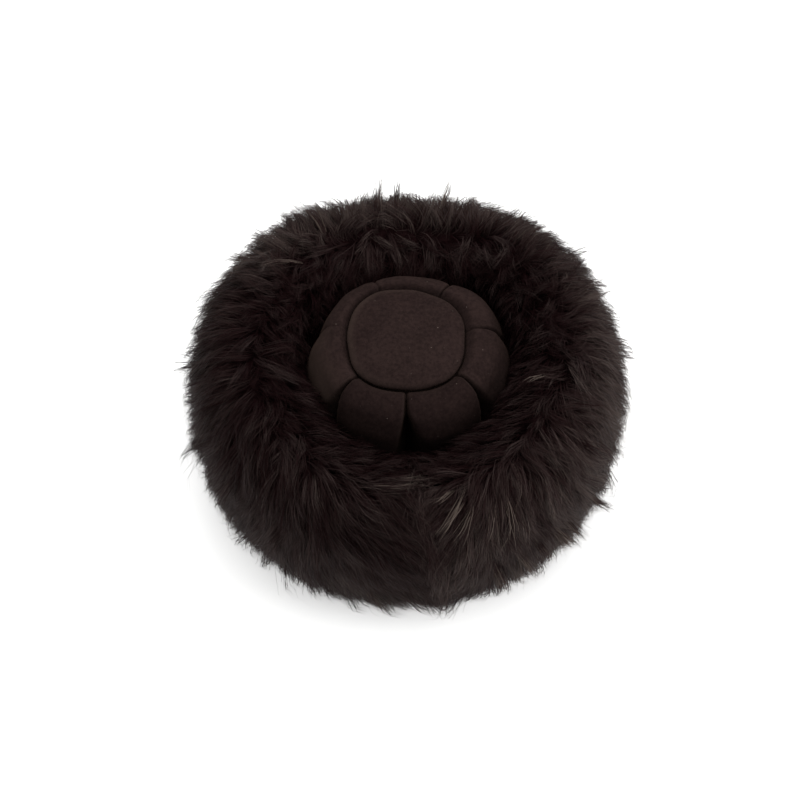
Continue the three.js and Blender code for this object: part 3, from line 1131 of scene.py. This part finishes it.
@dataclass
class FurCoat:
    """The long hair: tapered ribbons gathered in locks that follow the lie of the pelt.

    A lock is made of strands, and a strand of hairs. Strays are finer and looser hairs.
    """

    form: FurForm
    seed: int = 7
    # Where the locks root, and how the pelt's faces meet.
    lock_pitch: float = 5.2
    first_place: float = -0.02
    place_jitter: float = 0.012
    azimuth_jitter: float = 1.3
    parts_at: Span = (0.23, 0.37)
    back_parts: float = 0.07
    falls_at: Span = (0.38, 0.62)
    slope_ends: Span = (0.22, 0.4)
    lip: Span = (0.12, 0.25)
    lip_width: float = 25.0
    lip_flat: float = 0.7  # how far the hair is pressed down at the front lip
    roll_ends: float = 0.25
    floor: float = 0.4
    floor_eases: float = 2.0
    # The locks.
    lengths: Span = (0.8, 1.15)
    heights: Span = (0.25, 1.4)
    proud: float = 1.6
    proud_share: float = 0.12
    proud_spread: float = 0.6
    shag: float = 0.6
    shag_mm: float = 9.0
    drift: float = 24.0
    drift_mm: float = 20.0
    sway: float = 9.0  # degrees off its heading, as is looseness on the outer side
    curl: float = 1.1
    lock_tone: float = 0.12
    # Where the painted light and shade on the hair begins, and below which its hem part takes over.
    light_starts: Span = (0.22, 0.07)  # the place, and how much lower in front
    light_fade: float = 0.12
    hem_light_starts: Span = (0.6, 0.85)
    tuft_depth: float = 3.0
    tuft_spread: float = 0.42
    path_steps: int = 12
    path_reach: float = 1.25
    # The strands and hairs.
    subs: int = 5
    hairs: int = 29
    steps: int = 4
    hair_width: float = 0.42
    spread: float = 4.6
    strand_spread: float = 0.6
    hair_spread: float = 1.05
    strand_lengths: Span = (0.75, 1.1)
    hair_lengths: Span = (0.8, 1.05)
    hair_heights: Span = (0.55, 1.2)
    strand_height: float = 1.3
    hair_widths: Span = (0.7, 1.2)
    inner_over: Span = (0.2, 0.35)
    lower_over: Span = (0.55, 0.75)
    gather: float = 0.8
    hair_gather: float = 0.85
    gather_powers: Span = (1.2, 0.8)  # of strands and of the hairs in them
    loose_gather: float = 0.25  # of strays, and how much less on the inner slope
    hem_gather: float = 0.09
    ripple: float = 3.2
    stray_share: float = 0.2
    stray_spread: float = 2.0
    stray_length: float = 1.15
    stray_height: float = 1.5
    stray_width: float = 0.6
    swing: Span = (0.8, 2.0)  # of a hair and of a stray
    veer: Span = (0.06, 0.2)
    strand_tone: float = 0.27
    hair_tone: float = 0.22
    lively: tuple[float, float, float] = (0.35, 1.6, 0.85)  # least, share of the tone, most
    palest: float = 0.8
    twist: float = 0.6
    tilt: float = 0.45
    taper: Span = (1.8, 0.8)  # powers that narrow a hair to its point
    round: float = 0.5  # how far a hair's two edges are shaded apart

    def build(self, finish: Finish) -> list[bpy.types.Object]:
        """Grows the coat and joins it into one mesh for each side.

        Args:
            finish: The hair's finish.

        Returns:
            The pieces.
        """
        random = np.random.default_rng(self.seed)
        hairs = self._hairs(random, self._locks(random))
        pieces = []
        for number, side in enumerate(Side):
            pick = hairs["side"] == number
            mesh = self._mesh(f"fur_{side.value}", {k: v[pick] for k, v in hairs.items()})
            pieces.append(piece_of(mesh, finish, "fur_band"))
        return pieces

    def heading(self, place: Array, azimuth: Array) -> Array:
        """The way the hair lies, in degrees from straight out towards rising azimuth."""
        slant = PARTING_SLANT * (place - PARTING_PLACE) * bell(from_front(azimuth), PARTING_REACH)
        slope, top, side = (self._vectors(azimuth - slant, name) for name in ("slope", "top", "side"))
        back = self.back_parts * (1 - np.cos(np.radians(azimuth))) / 2
        over = smoothstep(place + back, *self.parts_at)[..., None]
        down = smoothstep(place, *self.falls_at)[..., None]
        way = (slope * (1 - over) + top * over) * (1 - down) + side * down
        return np.degrees(np.arctan2(way[..., 1], way[..., 0]))

    def _vectors(self, azimuth: Array, name: str) -> Array:
        """One heading of LIES at some azimuths, as vectors (ahead, aside)."""
        angles = np.radians([getattr(lie, name) for lie in LIES])
        return np.stack([self._around(azimuth, part(angles)) for part in (np.cos, np.sin)], axis=-1)

    def _around(self, azimuth: Array, values: Sequence[float] | str) -> Array:
        """A column of LIES, or a value for each of its rows, at some azimuths."""
        if isinstance(values, str):
            values = [getattr(lie, values) for lie in LIES]
        turn = np.mod(azimuth - FRONT_PARTING, 360) + FRONT_PARTING
        return np.interp(turn, [lie.azimuth for lie in LIES], values)

    def _roots(self) -> tuple[Array, Array]:
        """Even places and azimuths over the pelt, in rows that are set off by half a step."""
        places, turns = [], []
        rows = int(self.form.length.mean() / self.lock_pitch)
        for row in range(rows + 1):
            place = self.first_place + (1 - self.first_place) * row / rows
            around = 2 * math.pi * self.form.radius(np.array([place]), np.array([90.0]))[0]
            count = int(around / self.lock_pitch)
            turns.append((np.arange(count) + 0.5 * (row % 2)) * 360 / count)
            places.append(np.full(count, place))
        return np.concatenate(places), np.concatenate(turns)

    def _locks(self, random: np.random.Generator) -> Columns:
        """Roots of the locks over the whole pelt, with the looks of each."""
        place, azimuth = self._roots()
        count = len(place)
        place = place + random.normal(0, self.place_jitter, count)
        azimuth = azimuth + random.normal(0, self.azimuth_jitter, count)
        coat = np.array(COAT, dtype=float)
        slope = 1 - smoothstep(place, *self.slope_ends)
        points = self.form.at(place, azimuth, np.zeros(count))[0]
        drift, shag = waves(points, self.drift_mm), waves(points, self.shag_mm)
        loose = self.sway + (self._around(azimuth, "loose") - self.sway) * slope
        locks = {
            "place": place,
            "azimuth": azimuth,
            "turn": (drift * self.drift + random.normal(0, self.sway, count)) * loose / self.sway,
            "curl": random.normal(0, self.curl, count) * loose,
        }
        for column, key in enumerate(("length", "depth", "height", "tone"), start=1):
            locks[key] = np.interp(place, coat[:, 0], coat[:, column])
        shaggy = 1 + self.shag * shag
        locks["length"] *= random.uniform(*self.lengths, count) * shaggy
        proud = (random.random(count) < self.proud_share) & (place > self.parts_at[1])
        locks["height"] *= random.uniform(*self.heights, count) * shaggy
        locks["height"] *= np.where(proud, self.proud, 1.0)
        # Painted light and shade on the hair by azimuth: paler on the right and at the back, darker in front
        # and on the left.
        lift, hem = self._around(azimuth, "lift"), self._around(azimuth, "hem")
        low = smoothstep(place, *self.hem_light_starts)
        tones = random.normal(0, self.lock_tone, count) * (1 - 0.5 * slope)
        starts = self.light_starts[0] + self.light_starts[1] * np.cos(np.radians(azimuth))
        paler = (lift * (1 - low) + hem * low) * smoothstep(place - starts, 0, self.light_fade)
        locks["tone"] = locks["tone"] + tones + paler
        front = bell(from_front(azimuth), self.lip_width)
        locks["height"] *= 1 - self.lip_flat * front * (1 - smoothstep(place, *self.lip))
        locks["hairs"] = np.full(count, self.hairs)
        locks["spread"] = np.where(proud, self.proud_spread, 1.0) * self.spread
        locks["fixed"] = np.zeros(count)
        return self._with_tufts(locks)

    def _with_tufts(self, locks: Columns) -> Columns:
        """Adds the tufts to the locks. They keep their own headings."""
        for tuft in TUFTS:
            values = tuft._asdict()
            values["turn"] = values.pop("heading")
            values |= {"depth": self.tuft_depth, "spread": self.tuft_spread * self.spread, "fixed": 1.0}
            locks = {key: np.append(rows, values[key]) for key, rows in locks.items()}
        return locks

    def _paths(self, locks: Columns) -> list[Array]:
        """Places, azimuths and headings along each lock's middle, a column for each step."""
        place, azimuth = locks["place"].copy(), locks["azimuth"].copy()
        points = []
        step = locks["length"] * self.path_reach / self.path_steps
        for share in np.linspace(0, 1, self.path_steps + 1):
            flow = np.where(locks["fixed"] > 0, 0, self.heading(place, azimuth))
            angle = np.radians(flow + locks["turn"] + locks["curl"] * share)
            points.append((place, azimuth, angle))
            place = place + np.cos(angle) * step / self.form.span(azimuth)
            azimuth = azimuth + np.degrees(np.sin(angle) * step / self.form.radius(place, azimuth))
        return [np.stack(column, axis=1) for column in zip(*points)]

    def _hairs(self, random: np.random.Generator, locks: Columns) -> Columns:
        """Grows every lock's hairs, with their points, normals, widths, tones and turns."""
        owner = np.repeat(np.arange(len(locks["place"])), locks["hairs"].astype(int))
        own = {key: values[owner] for key, values in locks.items()}
        count, strands = len(owner), (len(locks["place"]), self.subs)
        stray = random.random(count) < self.stray_share
        sub = random.integers(0, self.subs, count)
        middles = random.normal(0, 1, (*strands, 2))
        middle = middles[owner, sub] * (self.strand_spread * own["spread"])[:, None]
        off = random.normal(0, 1, (count, 2)) * self.hair_spread
        off[stray] *= self.stray_spread
        length = random.uniform(*self.strand_lengths, strands)[owner, sub]
        length = length * random.uniform(*self.hair_lengths, count) * np.where(stray, self.stray_length, 1.0)
        t = np.linspace(0, 1, self.steps)[None, :]
        run = t * length[:, None] / self.path_reach * self.path_steps
        run = np.clip(run, 0, self.path_steps - 1e-6)
        i = run.astype(int)
        f = run - i
        rows = owner[:, None]
        place, turn, head = (p[rows, i] * (1 - f) + p[rows, i + 1] * f for p in self._paths(locks))
        inside = 1 - smoothstep(own["place"], *self.inner_over)
        below = smoothstep(own["place"], *self.lower_over)
        gather = self.gather - self.loose_gather * inside + self.hem_gather * below
        gather = np.where(stray, self.loose_gather, gather)[:, None]
        wide = 1 - gather * t ** self.gather_powers[0]
        fine = 1 - self.hair_gather * gather * t ** self.gather_powers[1]
        ahead = middle[:, :1] * wide + off[:, :1] * fine
        aside = middle[:, 1:] * wide + off[:, 1:] * fine
        phase = random.uniform(0, 2 * math.pi, (count, 1))
        swing = random.normal(0, 1.0, (count, 1)) * np.where(stray, *self.swing[::-1])[:, None]
        aside = aside + swing * t * np.sin(phase + self.ripple * t)
        veer = random.normal(0, 1, count) * np.where(stray, *self.veer[::-1]) * own["length"]
        aside = aside + veer[:, None] * t
        place = place + (ahead * np.cos(head) - aside * np.sin(head)) / self.form.span(turn)
        radius = self.form.radius(place, turn)
        turn = turn + np.degrees((ahead * np.sin(head) + aside * np.cos(head)) / radius)
        depth = own["depth"][:, None]
        height = own["height"][:, None] * random.uniform(*self.hair_heights, (count, 1))
        strand_height = random.normal(0, self.strand_height, strands)[owner, sub]
        height = height + (strand_height + np.where(stray, self.stray_height, 0.0))[:, None]
        rise = -depth + (depth + height) * (1 - (1 - t) ** 2.0)
        points, normals = self.form.at(place, turn, rise)
        over = points[..., 2] - self.floor - self.floor_eases
        eased = self.floor + self.floor_eases * np.exp(over / self.floor_eases)
        points[..., 2] = np.where(points[..., 2] < self.floor + self.floor_eases, eased, points[..., 2])
        strand_tone = random.normal(0, self.strand_tone, strands)[owner, sub]
        tone = own["tone"]
        least, share, most = self.lively
        lively = least + np.clip(share * tone, 0, most)
        mixed = tone + (strand_tone + random.normal(0, self.hair_tone, count)) * lively
        width = self.hair_width * random.uniform(*self.hair_widths, count)
        quarter = (np.mod(own["azimuth"] + 45, 360) // 90).astype(int)
        return {
            "points": points,
            "normals": normals,
            "width": width * np.where(stray, self.stray_width, 1.0),
            "tone": np.clip(mixed, 0, np.where(own["fixed"] > 0, 1.0, self.palest)),
            "side": np.where(own["place"] < self.roll_ends, 0, 1 + quarter),
            "twist": random.normal(0, self.twist, count),
            "tilt": random.normal(0, self.tilt, count),
        }

    def _mesh(self, name: str, hairs: Columns) -> bpy.types.Mesh:
        """Joins hairs into one mesh of tapered ribbons.

        Args:
            name: The mesh's name.
            hairs: The hairs' points, normals, widths, tones, twists and tilts.

        Returns:
            The mesh, with each hair's tone and the place along it as attributes.
        """
        points, normals = hairs["points"], hairs["normals"]
        count, steps = points.shape[:2]
        along = np.gradient(points, axis=1)
        along /= np.linalg.norm(along, axis=2, keepdims=True)
        across = np.cross(along, normals)
        across /= np.maximum(np.linalg.norm(across, axis=2, keepdims=True), 1e-6)
        out = np.cross(across, along)
        twist, tilt = hairs["twist"][:, None, None], hairs["tilt"][:, None, None]
        ribbon = across * np.cos(twist) + out * np.sin(twist)
        t = np.linspace(0, 1, steps)[None, :, None]
        half = hairs["width"][:, None, None] / 2 * (1 - t ** self.taper[0]) ** self.taper[1]
        body = steps - 1
        stride = 2 * body + 1
        verts, shade = np.empty((count, stride, 3)), np.empty((count, stride, 3))
        place = np.empty((count, stride))
        for first, sign in ((0, -1), (1, 1)):
            verts[:, first : 2 * body : 2] = (points + sign * (ribbon * half))[:, :body]
            shade[:, first : 2 * body : 2] = (out + (tilt + sign * self.round) * across)[:, :body]
            place[:, first : 2 * body : 2] = t[0, :body, 0]
        verts[:, -1] = points[:, -1]
        shade[:, -1] = (out + tilt * across)[:, -1]
        place[:, -1] = 1
        shade /= np.linalg.norm(shade, axis=2, keepdims=True)
        corners = []
        for a in range(0, 2 * body - 2, 2):
            corners += [(a, a + 1, a + 3), (a, a + 3, a + 2)]
        corners.append((2 * body - 2, 2 * body - 1, 2 * body))
        faces = (np.array(corners)[None] + stride * np.arange(count)[:, None, None]).reshape(-1)
        tone = np.repeat(hairs["tone"], stride)
        mesh = bpy.data.meshes.new(name)
        mesh.vertices.add(count * stride)
        mesh.vertices.foreach_set("co", (verts * MM).astype(np.float32).ravel())
        mesh.loops.add(len(faces))
        mesh.loops.foreach_set("vertex_index", faces.astype(np.int32))
        mesh.polygons.add(len(faces) // 3)
        mesh.polygons.foreach_set("loop_start", np.arange(0, len(faces), 3, dtype=np.int32))
        mesh.polygons.foreach_set("use_smooth", np.ones(len(faces) // 3, dtype=bool))
        mesh.update(calc_edges=True)
        for key, values in (("fur_tone", tone), ("fur_along", place.ravel())):
            layer = mesh.attributes.new(key, "FLOAT", "POINT")
            layer.data.foreach_set("value", values.astype(np.float32))
        uv = mesh.uv_layers.new(name="OFBake")
        pair = np.stack([tone[faces], place.ravel()[faces]], axis=-1)
        uv.data.foreach_set("uv", pair.astype(np.float32).ravel())
        mesh.normals_split_custom_set_from_vertices(shade.reshape(-1, 3).astype(np.float32))
        return mesh


class Softbox(NamedTuple):
    """A square light that faces the hat, in metres and watts."""

    name: str
    place: tuple[float, float, float]
    size: float
    power: float


@dataclass
class Studio:
    """The floor, the lights and the camera that sees the hat from the front and above."""

    axis: Vector
    target_height: float = 75.0
    elevation: float = 60.0
    distance: float = 1300.0
    sight: Span = (-3.91, -14.67)
    lens: float = 89.74
    sensor: float = 36.0
    floor_size: float = 6.0  # metres from its middle to its edge
    sky: float = 0.6
    softboxes: tuple[Softbox, ...] = (
        Softbox("softbox_over", (0.14, 0.65, 1.9), size=2.2, power=34.0),
        Softbox("softbox_right", (1.9, -0.3, 0.7), size=1.0, power=19.0),
    )
    lit_point: tuple[float, float, float] = (0, 0, 0.07)

    def build(self, finish: Finish) -> None:
        """Sets the studio up.

        Args:
            finish: The floor's finish.
        """
        self._floor(finish)
        self._lights()
        self._camera()
        scene = bpy.context.scene
        scene.view_settings.view_transform = "Standard"
        scene.view_settings.look = "None"

    def _add(self, name: str, data: bpy.types.ID) -> bpy.types.Object:
        """Adds an object to the scene."""
        item = bpy.data.objects.new(name, data)
        bpy.context.scene.collection.objects.link(item)
        return item

    def _floor(self, finish: Finish) -> None:
        """Lays a wide plain floor."""
        shape = bmesh.new()
        bmesh.ops.create_grid(shape, x_segments=1, y_segments=1, size=self.floor_size)
        data = bpy.data.meshes.new("floor")
        shape.to_mesh(data)
        shape.free()
        data.materials.append(finish.material)
        self._add("floor", data)

    def _lights(self) -> None:
        """Hangs a wide softbox over the hat, and fills from all round with a white sky."""
        world = bpy.data.worlds.new("studio")
        world.use_nodes = True
        sky = world.node_tree.nodes["Background"]
        sky.inputs["Color"].default_value = (1, 1, 1, 1)
        sky.inputs["Strength"].default_value = self.sky
        bpy.context.scene.world = world
        for box in self.softboxes:
            light = bpy.data.lights.new(box.name, "AREA")
            light.energy = box.power
            light.size = box.size
            lamp = self._add(box.name, light)
            lamp.location = box.place
            aim = Vector(self.lit_point) - Vector(box.place)
            lamp.rotation_euler = aim.to_track_quat("-Z", "Y").to_euler()

    def _camera(self) -> None:
        """Places the camera at the photograph's angle and framing."""
        tilt = math.radians(self.elevation)
        up = Vector((0, math.sin(tilt), math.cos(tilt)))
        back = Vector((0, -math.cos(tilt), math.sin(tilt)))
        target = self.axis + Vector((0, 0, self.target_height))
        middle = target + Vector((1, 0, 0)) * self.sight[0] + up * self.sight[1]
        lens = bpy.data.cameras.new("camera")
        lens.lens = self.lens
        lens.sensor_width = self.sensor
        lens.sensor_fit = "HORIZONTAL"
        camera = self._add("camera", lens)
        camera.location = (middle + back * self.distance) * MM
        camera.rotation_euler = (math.pi / 2 - tilt, 0, 0)
        bpy.context.scene.camera = camera


def main() -> None:
    """Builds the hat's looks and the studio."""
    logging.basicConfig(level=logging.INFO, format="%(name)s %(message)s")
    low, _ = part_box("crown_disc")
    crown = CrownForm()
    axis = Vector((low[0] / MM + crown.disc_radius, low[1] / MM + crown.disc_radius, 0))
    fur = FurForm(crown, axis)
    SuedeCrown(crown, axis).build(BrushedSuede())
    UnderCoat(fur, crown).build(Underfur())
    FurCoat(fur).build(LongFur())
    Studio(axis).build(PaleFloor())


if __name__ == "__main__":
    main()
